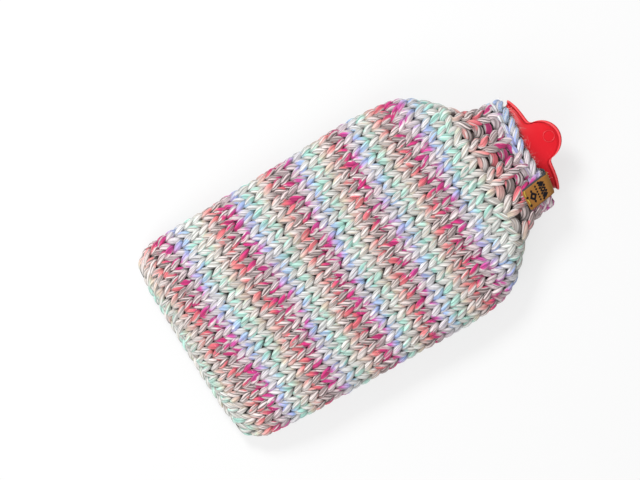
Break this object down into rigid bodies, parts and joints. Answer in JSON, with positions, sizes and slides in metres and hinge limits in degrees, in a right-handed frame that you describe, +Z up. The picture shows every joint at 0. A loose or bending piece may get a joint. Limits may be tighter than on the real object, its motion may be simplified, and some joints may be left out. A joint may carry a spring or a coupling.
{
  "type": "hot water bottle cover with hot water bottle",
  "caption": "Hand-knitted chunky cover with a ribbed collar, fitted over a rubber hot water bottle whose funnel mouth and hanging tab stand out of the collar",
  "frame": {"origin": "the middle of the outer box's underside, on the surface that the object lies on", "axes": "+Y runs from the closed bottom edge to the collar and the mouth, +Z is up out of the front face, and +X is to the right"},
  "size_m": [0.2092, 0.38, 0.0511],
  "materials": {
    "knit": "chunky soft-spun yarn, cream and grey with magenta, coral, mint and blue dyed stretches",
    "label_leather": "thin tan leather with a printed pattern",
    "bottle_rubber": "satin moulded red rubber"
  },
  "bodies": {
    "root": {"cover": "knit", "label": "label_leather", "bottle": "bottle_rubber"}
  },
  "joints": []
}
